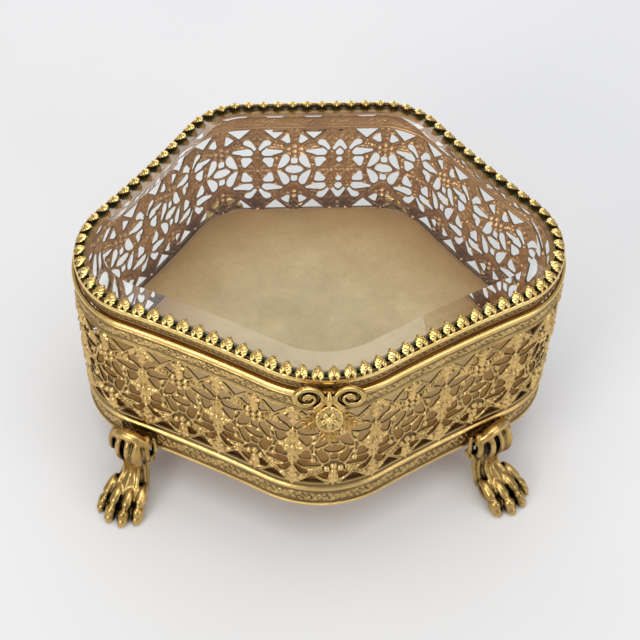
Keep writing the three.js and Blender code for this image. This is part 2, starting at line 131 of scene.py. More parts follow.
class Plan:
    """The outline at one outset, followed by its length from the middle of the front."""

    def __init__(self, outset):
        self.table = np.array(arcs(outset))
        spans = self.table[:, 2] * np.abs(self.table[:, 5] - self.table[:, 4])
        self.ends = np.concatenate([[0.0], np.cumsum(spans)])
        self.length = self.ends[-1]
        self.front = self.ends[1] / 2

    def at(self, s):
        """Points and outward normals at lengths s."""
        s = (np.asarray(s, dtype=float) + self.front) % self.length
        i = np.clip(np.searchsorted(self.ends, s, side="right") - 1, 0, len(self.table) - 1)
        x, y, r, sign, start, end = self.table[i].T
        share = (s - self.ends[i]) / (self.ends[i + 1] - self.ends[i])
        angle = start + (end - start) * share
        nx = np.cos(angle)
        ny = np.sin(angle)
        return x + r * nx, y + r * ny + Y_SHIFT, sign * nx, sign * ny


def front_of(node):
    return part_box(node)[0][1] / MM


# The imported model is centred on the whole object, hinge and feet included.
PLAN_FRONT = PLAN_CORNERS[0][1] - PLAN_CORNERS[0][2]
Y_SHIFT = front_of("filigree_wall") - (PLAN_FRONT - WALL_OUTSET) + WALL_RELIEF


# ---- Meshes ----

def make_mesh(name, points, groups, smooth_angle=40.0, recess=None):
    """A mesh object from points in millimetres and groups of (faces, material number)."""
    mesh = bpy.data.meshes.new(name)
    corners = [faces.reshape(-1) for faces, _ in groups]
    sizes = [np.full(len(faces), faces.shape[1]) for faces, _ in groups]
    numbers = [np.full(len(faces), number) for faces, number in groups]
    corners = np.concatenate(corners).astype(np.int32)
    sizes = np.concatenate(sizes)
    starts = np.concatenate([[0], np.cumsum(sizes)[:-1]]).astype(np.int32)
    mesh.vertices.add(len(points))
    mesh.vertices.foreach_set("co", (np.asarray(points) * MM).astype(np.float32).reshape(-1))
    mesh.loops.add(len(corners))
    mesh.loops.foreach_set("vertex_index", corners)
    mesh.polygons.add(len(sizes))
    mesh.polygons.foreach_set("loop_start", starts)
    mesh.polygons.foreach_set("material_index", np.concatenate(numbers).astype(np.int32))
    mesh.update(calc_edges=True)
    mesh.validate()
    if recess is not None:
        layer = mesh.attributes.new("recess", "FLOAT", "POINT")
        layer.data.foreach_set("value", recess.astype(np.float32))
    mesh.polygons.foreach_set("use_smooth", np.ones(len(sizes), dtype=bool))
    mesh.set_sharp_from_angle(angle=math.radians(smooth_angle))
    piece = bpy.data.objects.new(name, mesh)
    bpy.context.scene.collection.objects.link(piece)
    return piece


def gradient(function, s, t, step=0.04):
    """How steeply function(s, t) changes along s and along t."""
    across = (function(s + step, t) - function(s - step, t)) / (2 * step)
    along = (function(s, t + step) - function(s, t - step)) / (2 * step)
    return across, along


def pierced_shell(name, plan, columns, levels, metal, profile, relief, depth):
    """A closed thin shell round the plan, cut where metal() is negative.

    metal(s, t) is the distance inside the metal, profile(t) gives outset, height and the
    direction that relief stands in, relief(s, t, metal) is the height of the outer face,
    and depth(relief) is how far behind the profile the inner face lies.
    """
    rows = len(levels)
    pitch = plan.length / columns
    s, t = np.meshgrid(np.arange(columns) * pitch, levels, indexing="ij")
    inside = metal(s, t)
    across, along = gradient(metal, s, t)
    steep = across ** 2 + along ** 2 + 1e-9
    gap = np.diff(levels).min()
    near = np.abs(inside) < 0.62 * min(pitch, gap)
    near[:, 0] = False
    near[:, -1] = False
    s = np.where(near, s - inside * across / steep, s)
    t = np.where(near, t - inside * along / steep, t)
    state = np.where(near, 0, np.where(inside > 0, 1, -1)).reshape(-1)
    column = np.arange(columns)[:, None]
    row = np.arange(rows - 1)[None, :]
    following = (column + 1) % columns
    quads = np.stack([
        column * rows + row,
        following * rows + row,
        following * rows + row + 1,
        column * rows + row + 1,
    ], axis=-1).reshape(-1, 4)
    marks = state[quads]
    holes = (marks < 0).sum(axis=1)
    solid = (marks > 0).sum(axis=1)
    middle_s = s.reshape(-1)[quads]
    wrap = np.abs(middle_s - middle_s[:, :1]) > plan.length / 2
    middle_s = np.where(wrap, middle_s + np.sign(middle_s[:, :1] - middle_s) * plan.length, middle_s)
    middle = metal(middle_s.mean(axis=1), t.reshape(-1)[quads].mean(axis=1))
    kept = quads[(holes == 0) & ((solid > 0) | (middle > 0))]
    thirds = []
    for corner in range(4):
        chosen = quads[(holes == 1) & (solid > 0) & (marks[:, corner] < 0)]
        thirds.append(np.delete(chosen, corner, axis=1))
    thirds = np.concatenate(thirds)
    used, flat = np.unique(np.concatenate([kept.reshape(-1), thirds.reshape(-1)]), return_inverse=True)
    kept = flat[:kept.size].reshape(-1, 4)
    thirds = flat[kept.size:].reshape(-1, 3)
    s = s.reshape(-1)[used]
    t = t.reshape(-1)[used]
    x, y, nx, ny = plan.at(s)
    out, z, lean_out, lean_up = profile(t)
    height = relief(s, t, np.maximum(metal(s, t), 0.0))
    back = depth(height)
    outer = np.stack([
        x + nx * (out + height * lean_out),
        y + ny * (out + height * lean_out),
        z + height * lean_up,
    ], axis=1)
    inner = np.stack([
        x + nx * (out - back * lean_out),
        y + ny * (out - back * lean_out),
        z - back * lean_up,
    ], axis=1)
    count = len(used)
    edges = np.concatenate([
        np.stack([faces, np.roll(faces, -1, axis=1)], axis=-1).reshape(-1, 2)
        for faces in (kept, thirds)
    ])
    keys = edges[:, 0] * count + edges[:, 1]
    open_edges = edges[~np.isin(keys, edges[:, 1] * count + edges[:, 0])]
    a, b = open_edges.T
    sides = np.stack([b, a, a + count, b + count], axis=1)
    recess = np.concatenate([height, np.full(count, 0.0)])
    return make_mesh(
        name,
        np.concatenate([outer, inner]),
        [
            (kept, 0),
            (thirds, 0),
            (kept[:, ::-1] + count, 1),
            (thirds[:, ::-1] + count, 1),
            (sides, 2),
        ],
        recess=recess,
    )


def plan_sweep(name, plan, section):
    """A closed section of (outset, height) points carried round the plan."""
    columns = SWEEP_COLUMNS
    x, y, nx, ny = plan.at(np.arange(columns) * plan.length / columns)
    section = np.array(section)
    count = len(section)
    out = section[None, :, 0]
    points = np.stack([
        x[:, None] + nx[:, None] * out,
        y[:, None] + ny[:, None] * out,
        np.broadcast_to(section[None, :, 1], (columns, count)),
    ], axis=-1).reshape(-1, 3)
    column = np.arange(columns)
    groups = []
    for i in range(count):
        j = (i + 1) % count
        following = (column + 1) % columns
        faces = np.stack([
            column * count + i,
            following * count + i,
            following * count + j,
            column * count + j,
        ], axis=1)
        groups.append((faces, 0))
    return make_mesh(name, points, groups)


def plan_plate(name, plan, rings, columns, smooth_angle, numbers=None, bump=None):
    """A closed plate from rings of (outset, height, share), the last ring at the top middle.

    A ring's share draws it in towards the middle of the plan, from 1 at the outline to 0.
    """
    x, y, nx, ny = plan.at(np.arange(columns) * plan.length / columns)
    middle_y = float(y.mean())
    points = []
    for out, z, share in rings:
        px = (x + nx * out) * share
        py = middle_y + (y + ny * out - middle_y) * share
        pz = np.full(columns, float(z))
        if bump is not None:
            pz = pz + bump(px, py, pz)
        points.append(np.stack([px, py, pz], axis=1))
    points = np.concatenate(points)
    column = np.arange(columns)
    following = (column + 1) % columns
    groups = []
    for k in range(len(rings) - 1):
        faces = np.stack([
            column + k * columns,
            following + k * columns,
            following + (k + 1) * columns,
            column + (k + 1) * columns,
        ], axis=1)
        groups.append((faces, 0 if numbers is None else numbers[k]))
    top = (len(rings) - 1) * columns
    groups.append(((column + top)[None, :], 0))
    groups.append((column[::-1][None, :], 0))
    return make_mesh(name, points, groups, smooth_angle)


# ---- Shapes in the flat pattern ----

def ellipse(x, y, a, b, angle=0.0):
    """Distance outside an ellipse, near enough at its edge."""
    cos = math.cos(math.radians(angle))
    sin = math.sin(math.radians(angle))
    u = x * cos + y * sin
    v = y * cos - x * sin
    near = np.sqrt((u / a) ** 2 + (v / b) ** 2) + 1e-6
    steep = np.sqrt((u / a ** 2) ** 2 + (v / b ** 2) ** 2) + 1e-6
    return near * (near - 1.0) / steep


def drop(x, y, start, end, r1, r2):
    """Distance outside a stroke whose radius goes from r1 at start to r2 at end."""
    ax, ay = start
    bx, by = end
    span = (bx - ax) ** 2 + (by - ay) ** 2
    share = np.clip(((x - ax) * (bx - ax) + (y - ay) * (by - ay)) / span, 0.0, 1.0)
    away = np.hypot(x - ax - (bx - ax) * share, y - ay - (by - ay) * share)
    return away - (r1 + (r2 - r1) * share)


def ball(x, y, cx, cy, r):
    """Height of a bead, nothing outside it."""
    return np.sqrt(np.maximum(r * r - (x - cx) ** 2 - (y - cy) ** 2, 0.0))


def ridge(distance, half, height):
    """A rounded ridge along a line."""
    return height * np.sqrt(np.maximum(1.0 - (distance / half) ** 2, 0.0))


def leaf(x, y, root, tip, half, height, veins=4.0):
    """A pointed leaf with a middle rib and side lobes."""
    ax, ay = root
    dx, dy = tip[0] - ax, tip[1] - ay
    length = math.hypot(dx, dy)
    u = ((x - ax) * dx + (y - ay) * dy) / length ** 2
    v = np.abs((y - ay) * dx - (x - ax) * dy) / length
    inside = np.clip(u, 0.0, 1.0)
    lobes = 1.0 + 0.2 * np.cos(FULL_TURN * (inside * veins - v / (2.2 * half)))
    width = half * np.sin(math.pi * np.clip(inside * 0.88 + 0.12, 0, 1)) ** 0.7 * lobes
    cover = np.clip((width - v) / (0.35 * half), 0.0, 1.0) * (u > 0.0) * (u < 1.0)
    rib = 0.35 * np.exp(-(v / (0.18 * half)) ** 2)
    grooves = 0.26 * np.cos(FULL_TURN * (inside * veins - v / (1.4 * half)))
    return height * np.sqrt(cover) * (0.66 + rib + grooves)


# ---- The repeat of the pierced wall ----

def fold(s):
    """Distance from the nearest cell middle, 0 at an oval to half a pitch at a column."""
    seam = CELL_START + (FIRST_CELL + CELL_COUNT - 0.5) * CELL_PITCH
    length = WALL_PLAN.length
    lap = (length - CELL_COUNT * CELL_PITCH) / 2
    s = (s - seam - lap) % length
    past = s > CELL_COUNT * CELL_PITCH + lap
    s = np.where(past, s - length, s)
    return np.abs((s + 1000 * CELL_PITCH) % CELL_PITCH - CELL_PITCH / 2)


COLUMN = CELL_PITCH / 2
BAR_LOW = 6.25
BAR_HIGH = 6.7
WING_ARC = (7.4, 7.2)
FLOWER_ARC = 12.4


def holes(u, v):
    """Distance outside the nearest hole of the field, for a point of half a cell."""
    w = np.abs(v)
    oval = ellipse(u, w, 3.2, 2.2)
    ring = ellipse(u, w, 3.75, 2.75)
    small = np.maximum(np.abs(u) - 1.15, np.abs(w - 4.3) - 1.75)
    small = np.maximum(small, 0.75 * (np.abs(u) + np.abs(w - 4.3)) - 1.75)
    small = np.maximum(small, -ring)
    petal = ellipse(u - 3.4 - 0.06 * (w - 3.9) ** 2, w - 4.1, 1.55, 4.0, 22.0)
    petal = np.maximum(petal, np.maximum(-ring, 1.62 - u))
    wing = drop(u, w, (9.2, 8.4), (4.9, 9.0), 2.15, 0.9)
    wing = np.maximum(wing, BAR_HIGH - w)
    from_arc = np.hypot(u - WING_ARC[0], w - WING_ARC[1])
    wing = np.maximum(wing, from_arc - 4.2)
    teardrop = drop(u, w, (9.0, 4.6), (8.4, 1.9), 2.05, 0.85)
    teardrop = np.maximum(teardrop, w - BAR_LOW)
    slant = drop(u, w, (9.5, 13.2), (11.0, 10.4), 1.55, 1.45)
    slant = np.maximum(slant, 4.65 - from_arc)
    from_flower = np.hypot(u, w - FLOWER_ARC)
    low = drop(u, w, (3.7, 16.1), (2.3, 13.7), 2.1, 0.95)
    low = np.maximum(low, from_flower - 5.3)
    corner = np.maximum(w - FIELD_HALF, np.maximum(
        0.74 * (u - 6.6) + 0.67 * (14.9 - w), 0.74 * (6.6 - u) + 0.67 * (14.9 - w)))
    corner = np.maximum(corner, u - 10.9)
    corner = np.maximum(corner, 5.75 - from_flower)
    result = oval
    for shape in (small, petal, wing, teardrop, slant, low, corner):
        result = np.minimum(result, shape)
    return result


def wall_metal(s, z):
    return np.minimum(holes(fold(s), z - CELL_MIDDLE), 50.0)


def flower(u, v, cy):
    """A small flower of six round petals and a raised middle."""
    height = ball(u, v, 0.0, cy, 1.15) + 0.15 * (np.hypot(u, v - cy) < 1.15)
    for k in range(6):
        angle = FULL_TURN * k / 6 + math.pi / 6
        height = np.maximum(height, ball(u, v, 2.45 * math.cos(angle), cy + 2.45 * math.sin(angle), 1.2))
    return height


def rosette(u, v):
    """The acanthus boss in the middle of a column."""
    x = u - COLUMN
    r = np.hypot(x, v * 0.92)
    angle = np.arctan2(v, x)
    reach = 4.3 + 0.75 * np.cos(8 * angle)
    cover = np.clip((reach - r) / 1.0, 0.0, 1.0)
    veins = 0.36 * np.cos(8 * angle) * np.clip(r / 2.0, 0, 1) + 0.12 * np.cos(4.2 * r)
    body = (0.72 + veins) * np.sqrt(cover)
    return np.maximum(body, 0.5 + ball(x, v, 0, 0, 1.0)) * (r < 5.2)


def beads(u, v, places):
    """Round beads, each (x, y, radius), standing a little proud of half their height."""
    height = np.zeros_like(u)
    for x, y, r in places:
        bead = ball(u, v, x, y, r)
        height = np.maximum(height, np.where(bead > 0, bead * 0.8 + 0.3, 0.0))
    return height


def field_relief(u, v, inside):
    """Raised work on the pierced field: outlined holes with beads, leaves and bosses between."""
    ground = -0.1 * np.clip(inside - 0.6, 0.0, 1.0)
    outline = ridge(np.clip(inside - 0.34, -0.34, 9.0), 0.44, 0.52)
    x = u - COLUMN
    motifs = [flower(u, v, 9.9), flower(u, v, -12.4), rosette(u, v)]
    chain = [(COLUMN, side * level, 0.82) for level in (6.4, 7.9, 9.4) for side in (-1, 1)]
    chain += [(6.4, side * 6.4, 0.95) for side in (-1, 1)]
    chain += [(5.9, side * level, 0.7) for level in (1.6, 3.0) for side in (-1, 1)]
    chain += [(5.35, 0.0, 0.9), (0.0, 15.2, 0.7), (0.0, -15.1, 0.55)]
    chain += [(COLUMN - 2.6, side * 5.5, 0.62) for side in (-1, 1)]
    motifs.append(beads(u, v, chain))
    for turn in (-1, 1):
        motifs.append(leaf(x, v, (0.0, turn * 20.0), (0.0, turn * 11.0), 1.75, 0.95, 3.0))
        motifs.append(leaf(-x, v, (0.2, turn * 19.0), (4.9, turn * 14.6), 1.25, 0.9, 2.0))
        motifs.append(leaf(-x, v, (0.4, turn * 19.6), (3.4, turn * 17.6), 0.8, 0.7, 2.0))
        arch = ridge(np.hypot(u, v - turn * FLOWER_ARC) - 5.52, 0.42, 0.8)
        motifs.append(arch * (turn * v > FLOWER_ARC))
        motifs.append(leaf(u, v, (3.4, turn * 11.4), (8.0, turn * 12.9), 1.55, 0.95, 4.0))
        motifs.append(leaf(u, v, (8.4, turn * 11.9), (5.4, turn * 15.0), 1.1, 0.8, 3.0))
        motifs.append(leaf(u, v, (9.2, turn * 15.4), (11.4, turn * 19.4), 0.9, 0.8, 3.0))
        motifs.append(ridge(np.hypot(u - WING_ARC[0], v - turn * WING_ARC[1]) - 4.42, 0.4, 0.75))
        motifs.append(leaf(-x, v, (0.8, turn * 4.4), (3.0, turn * 8.6), 0.9, 0.7, 3.0))
    motifs.append(leaf(u, v, (0.0, -14.6), (0.0, -20.2), 2.2, 0.95, 2.0))
    motifs.append(leaf(u, v, (0.0, 13.0), (0.0, 20.4), 2.2, 0.9, 4.0))
    motifs.append(leaf(u, v, (0.6, 14.8), (3.3, 19.9), 0.9, 0.8, 3.0))
    motifs.append(ridge(ellipse(u, v, 3.48, 2.48), 0.36, 0.75))
    top = np.maximum(ground, outline)
    edge = np.clip(0.3 + inside / 0.35, 0.0, 1.0)
    for motif in motifs:
        top = np.maximum(top, 1.12 * motif * edge)
    return top


def border_relief(s, z, low, high, phase):
    """A leafy scroll between two levels."""
    period = CELL_PITCH / 2
    x = (s - CELL_START + phase + 1000 * period) % period - period / 2
    middle = (low + high) / 2
    half = (high - low) / 2
    y = z - middle
    inside = np.clip((half - np.abs(y)) / 0.4, 0.0, 1.0)
    height = np.full_like(z, 0.0)
    vine = ridge(y - 0.55 * half * np.sin(FULL_TURN * x / period), 0.38, 0.42)
    height = np.maximum(height, vine)
    for side in (-1, 1):
        for root, tip, width in (
            ((0.9, -0.4), (3.4, 0.6), 0.8),
            ((2.0, 0.4), (4.2, -0.75), 0.75),
            ((4.1, 0.1), (6.2, 0.75), 0.75),
            ((5.0, -0.2), (6.3, -0.8), 0.6),
        ):
            first = (side * root[0], side * root[1] * half)
            last = (side * tip[0], side * tip[1] * half)
            height = np.maximum(height, leaf(x, y, first, last, width, 0.42, 2.0))
    for k in range(6):
        angle = FULL_TURN * k / 5
        away = 0.0 if k == 5 else 1.05
        bead = 0.85 * ball(x, y, away * math.cos(angle), away * math.sin(angle), 0.58)
        height = np.maximum(height, bead)
    return height * inside


TOP_BORDER = (75.7, 79.9)
LOW_BORDER = (23.2, 29.9)
RIB_HALF = 0.95
LINES = ((74.3, 0.3, 0.5), (75.2, 0.26, 0.4), (80.35, 0.3, 0.5), (22.15, 0.6, 0.8))


def wall_relief(s, z, inside):
    v = z - CELL_MIDDLE
    field = field_relief(fold(s), v, inside)
    height = np.where(np.abs(v) < FIELD_HALF + 0.4, field, 0.15)
    height = np.maximum(height, border_relief(s, z, *TOP_BORDER, 0.0) + 0.12)
    height = np.maximum(height, border_relief(s, z, *LOW_BORDER, COLUMN / 2) + 0.12)
    height = np.maximum(height, ridge(z - RIB_LEVEL, RIB_HALF, 1.0))
    for level, half, rise in LINES:
        height = np.maximum(height, ridge(z - level, half, rise))
    return height


SHEET_BACK = 0.35
WALL_PLAN = Plan(WALL_OUTSET)


def wall_profile(t):
    return np.full_like(t, -SHEET_BACK), t, np.ones_like(t), np.zeros_like(t)


def filigree_wall():
    levels = np.linspace(BODY_BOTTOM, WALL_TOP, WALL_ROWS)
    return pierced_shell(
        "pierced_wall", WALL_PLAN, WALL_COLUMNS, levels, wall_metal, wall_profile, wall_relief,
        lambda height: 0.42 - 0.75 * height)


# ---- The lid's edge ----

LID_PLAN = Plan(0.0)
BAND_HEIGHT = 5.4


def band_relief(s, z, inside):
    """A low engraved running leaf between two fine lines."""
    period = LID_PLAN.length / TOOTH_COUNT
    x = (s + 0.5 * period) % period - period / 2
    y = z - BAND_BOTTOM - 0.46 * BAND_HEIGHT
    vine = ridge(y - 0.7 * np.sin(FULL_TURN * x / period), 0.3, 0.24)
    height = np.maximum(vine, leaf(x, y, (-1.9, -0.6), (-0.3, 1.5), 0.6, 0.26, 2.0))
    height = np.maximum(height, leaf(x, y, (0.5, 0.6), (2.1, -1.5), 0.6, 0.26, 2.0))
    height = np.maximum(height, ball(x, y, 0.1, -1.2, 0.45) * 0.5)
    return np.maximum(height, ridge(np.abs(y) - 1.95, 0.22, 0.2))


def band_profile(t):
    return np.full_like(t, -0.15), t, np.ones_like(t), np.zeros_like(t)


def lid_band():
    levels = np.linspace(BAND_BOTTOM, BAND_BOTTOM + BAND_HEIGHT, BAND_ROWS)
    return pierced_shell(
        "engraved_band", LID_PLAN, BAND_COLUMNS, levels, lambda s, t: np.full_like(t, 9.0),
        band_profile, band_relief, lambda height: np.full_like(height, 0.7))


def lid_ledge():
    """The ledge under the glass and the lip that drops inside the wall."""
    section = [
        (-0.9, 86.4), (-0.9, 83.2), (-0.55, 82.85), (-0.45, 82.6), (-0.45, 81.1), (-0.75, 80.9),
        (-1.05, 81.1), (-1.25, 83.0), (-1.5, 85.2), (-4.6, 85.8), (-4.7, 86.1), (-4.5, 86.4),
    ]
    return plan_sweep("glass_ledge", LID_PLAN, section[::-1])


# A strip of teeth rises outside the glass and folds in over its bevel.
STRIP_RISE = 1.3
STRIP_BEND = 0.7
STRIP_LENGTH = 6.1
FOLD_ANGLE = math.radians(66)
TOOTH_FOOT = 1.55
TOOTH_HALF = 2.15
TOOTH_PHASE = 1.6


def strip_profile(t):
    turn = np.clip((t - STRIP_RISE) / STRIP_BEND, 0.0, FOLD_ANGLE)
    rest = np.maximum(t - STRIP_RISE - STRIP_BEND * FOLD_ANGLE, 0.0)
    out = 0.3 - STRIP_BEND * (1.0 - np.cos(turn)) - rest * math.sin(FOLD_ANGLE)
    z = STRIP_BOTTOM + np.minimum(t, STRIP_RISE) + STRIP_BEND * np.sin(turn)
    z = z + rest * math.cos(FOLD_ANGLE)
    return out, z, np.cos(turn), np.sin(turn)


def tooth_place(s):
    period = LID_PLAN.length / TOOTH_COUNT
    return (s - TOOTH_PHASE + period / 2) % period - period / 2


def strip_metal(s, t):
    """A leaf on each pitch, standing on two legs with a small pointed arch between."""
    x = np.abs(tooth_place(s))
    length = STRIP_LENGTH - 0.2 - TOOTH_FOOT
    share = np.clip((t - TOOTH_FOOT) / length, 0.0, 1.0)
    width = TOOTH_HALF * (0.62 + 1.5 * share - 2.12 * share ** 1.9)
    tooth = np.minimum(width - x, STRIP_LENGTH - 0.2 - t) * 0.8
    metal = np.maximum(tooth, TOOTH_FOOT - 0.35 - t)
    arch = np.maximum(x * 0.85 + (t - 2.75) * 0.5, TOOTH_FOOT - 0.1 - t)
    return np.minimum(metal, arch)


def strip_relief(s, t, inside):
    """Each leaf is cupped, with a middle rib and side veins."""
    x = np.abs(tooth_place(s))
    share = np.clip((t - 2.2) / 3.6, 0.0, 1.0)
    height = 0.3 * (1.0 - np.exp(-inside / 0.22))
    rib = np.exp(-(x / 0.26) ** 2) * 0.42 * np.sin(math.pi * np.clip(share, 0.02, 0.98)) ** 0.5
    veins = 0.1 * np.cos(FULL_TURN * (t * 0.95 - x * 0.8))
    body = 0.45 * np.sin(math.pi * np.clip(share * 0.9 + 0.1, 0, 1)) * np.exp(-(x / 1.25) ** 2)
    return height + np.where(t > 2.1, rib + veins + body, 0.0)


def gallery():
    levels = np.linspace(0.0, STRIP_LENGTH, TOOTH_ROWS)
    return pierced_shell(
        "tooth_gallery", LID_PLAN, TOOTH_COUNT * TOOTH_COLUMNS, levels,
        strip_metal, strip_profile, strip_relief,
        lambda height: np.full_like(height, 0.32))


def glass_pane():
    rings = [
        (-1.9, GLASS_BOTTOM, 1.0),
        (-1.7, GLASS_BOTTOM + 0.2, 1.0),
        (-1.7, GLASS_BOTTOM + 1.5, 1.0),
        (-1.9, GLASS_BOTTOM + 1.65, 1.0),
        (-2.5, GLASS_BOTTOM + 1.83, 1.0),
        (-8.4, GLASS_TOP, 1.0),
    ]
    return plan_plate("bevelled_glass", LID_PLAN, rings, GLASS_COLUMNS, 4.0, [1, 1, 1, 1, 0])


def rim_wire():
    count = 14
    section = []
    for k in range(count):
        angle = FULL_TURN * k / count
        section.append((0.78 * math.cos(angle) - 0.35, RIM_MIDDLE + RIM_HALF * math.sin(angle)))
    return plan_sweep("polished_rim", WALL_PLAN, section)


# ---- The velvet pad ----

def velvet_surface(x, y, z):
    """Slow swells and small pinches of the cloth, growing from the pad's edge."""
    swell = 0.22 * np.sin(x / 11.0 + 0.6) * np.sin(y / 9.0 + 1.1)
    small = 0.07 * np.sin(x / 3.1 + y / 5.3) * np.sin(y / 2.7 - x / 6.1)
    return np.where(z > 37.0, swell + small, 0.0)


def velvet_pad():
    rings = [
        (-3.2, PAD_BOTTOM + 0.2, 1.0),
        (-2.2, PAD_BOTTOM + 0.35, 1.0),
        (-1.5, PAD_BOTTOM + 1.2, 1.0),
        (-1.25, PAD_BOTTOM + 2.6, 1.0),
        (-1.3, PAD_BOTTOM + 5.0, 1.0),
    ]
    edge = 3.4
    for k in range(1, 9):
        angle = 0.5 * math.pi * k / 8
        out = -1.3 - edge * (1 - math.cos(angle))
        rings.append((out, PAD_TOP - edge * (1 - math.sin(angle)), 1.0))
    for k in range(1, 14):
        share = 1.0 - k / 14
        crown = 0.75 * (1.0 - share ** 2)
        rings.append((-1.3 - edge, PAD_TOP + crown, share))
    return plan_plate("velvet_cushion", LID_PLAN, rings, PAD_COLUMNS, 60.0, bump=velvet_surface)


# ---- Cast pieces: lobes run together ----

class Casting:
    """Collects balls, lobes and tapering strands in millimetres and runs them together."""

    def __init__(self):
        self.bm = bmesh.new()

    def lobe(self, centre, radii, turn=(0.0, 0.0, 0.0), detail=3):
        rotation = Matrix.Identity(4)
        for axis, angle in zip("XYZ", turn):
            rotation = Matrix.Rotation(math.radians(angle), 4, axis) @ rotation
        matrix = Matrix.Translation(Vector(centre)) @ rotation @ Matrix.Diagonal((*radii, 1.0))
        bmesh.ops.create_icosphere(self.bm, subdivisions=detail, radius=1.0, matrix=matrix)

    def strand(self, points, radii, steps=10):
        """Balls along a smooth line through points, with the radius read between radii."""
        points = [Vector(p) for p in points]
        last = len(points) - 1
        for k in range(steps * last + 1):
            place = k / steps
            i = min(int(place), last - 1)
            t = place - i
            before = points[max(i - 1, 0)]
            after = points[min(i + 2, last)]
            a, b = points[i], points[i + 1]
            p = 0.5 * (
                2 * a + (b - before) * t
                + (2 * before - 5 * a + 4 * b - after) * t ** 2
                + (3 * a - before - 3 * b + after) * t ** 3)
            share = place / last * (len(radii) - 1)
            j = min(int(share), len(radii) - 2)
            r = radii[j] + (radii[j + 1] - radii[j]) * (share - j)
            self.lobe(p, (r, r, r), detail=2)

    def pour(self, name, voxel, smooth=2):
        mesh = bpy.data.meshes.new(name)
        bmesh.ops.scale(self.bm, vec=(MM, MM, MM), verts=self.bm.verts)
        self.bm.to_mesh(mesh)
        self.bm.free()
        rough = bpy.data.objects.new(name + "_rough", mesh)
        bpy.context.scene.collection.objects.link(rough)
        remesh = rough.modifiers.new("remesh", "REMESH")
        remesh.mode = "VOXEL"
        remesh.voxel_size = voxel * MM
        softened = rough.modifiers.new("smooth", "SMOOTH")
        softened.iterations = smooth
        softened.factor = 0.5
        graph = bpy.context.evaluated_depsgraph_get()
        done = bpy.data.meshes.new_from_object(rough.evaluated_get(graph))
        done.name = name
        bpy.data.objects.remove(rough)
        bpy.data.meshes.remove(mesh)
        done.polygons.foreach_set("use_smooth", np.ones(len(done.polygons), dtype=bool))
        return done


def place(name, mesh, matrix):
    piece = bpy.data.objects.new(name, mesh)
    piece.matrix_world = matrix
    bpy.context.scene.collection.objects.link(piece)
    return piece


# Each foot: the corner it hangs from, where on that corner, and its heading, in degrees.
FEET = {
    "front_left": (4, 248, 245),
    "front_right": (1, 278, 309),
    "back_left": (3, 105, 115),
    "back_right": (2, 75, 65),
}


# Each toe: how far to the side it starts, how far out its tip is, and its splay in degrees.
TOES = ((-5.9, 17.6, -12), (-2.05, 20.2, -4), (2.05, 20.2, 4), (5.9, 17.6, 12))


def lion_paw():
    """One foot, outwards along x from where it meets the wall, standing at height 0."""
    cast = Casting()
    for across, reach, splay in TOES:
        lean = math.tan(math.radians(splay))

        def toe(out, height):
            return (out, across + lean * (out - 14.0) * 0.6, height)

        cast.strand([toe(8.4, 8.0), toe(reach - 7.0, 7.5), toe(reach - 4.6, 6.2)], [1.3, 1.75, 1.95])
        cast.lobe(toe(reach - 4.7, 6.0), (2.2, 1.95, 2.0))
        cast.lobe(toe(reach - 2.0, 3.6), (2.5, 2.15, 2.7), (0, 25, 0))
        cast.lobe(toe(reach - 0.8, 2.3), (1.9, 2.05, 2.1))
        cast.lobe(toe(reach + 0.2, 1.9), (1.5, 1.75, 1.75))
        cast.lobe(toe(reach + 1.35, 1.25), (0.75, 0.6, 0.95))
    cast.lobe((11.0, 0.0, 2.6), (6.2, 6.6, 2.6))
    cast.lobe((6.0, 0.0, 3.0), (3.4, 5.2, 2.9))
    cast.strand([(10.8, 0, 4.8), (7.6, 0, 7.4), (4.4, 0, 11.4), (3.4, 0, 17.0)], [4.4, 3.9, 3.1, 3.5])
    for across in (-2.5, 0.0, 2.5):
        cast.strand(
            [(12.6, across * 1.7, 7.0), (9.6, across * 1.25, 9.2),
             (6.9, across, 12.0), (6.4, across, 16.5)],
            [0.75, 0.85, 0.8, 0.6])
    for side in (-1, 1):
        cast.strand([(5.6, side * 4.4, 5.2), (2.9, side * 3.4, 9.0), (1.9, side * 3.0, 15.0)],
                    [1.1, 1.2, 1.1])
        cast.strand([(8.8, side * 5.0, 5.4), (5.2, side * 3.7, 9.6), (4.2, side * 3.2, 15.0)],
                    [0.8, 0.85, 0.8])
    knee(cast)
    for corner in (-1, 1):
        for u in (-10.8, -6.0, -1.0):
            cast.lobe((u, corner * 2.6, 19.65), (2.2, 1.7, 1.35))
    cast.lobe((-6.0, 0.0, 19.65), (6.4, 3.6, 1.35))
    return cast.pour("paw", 0.36)


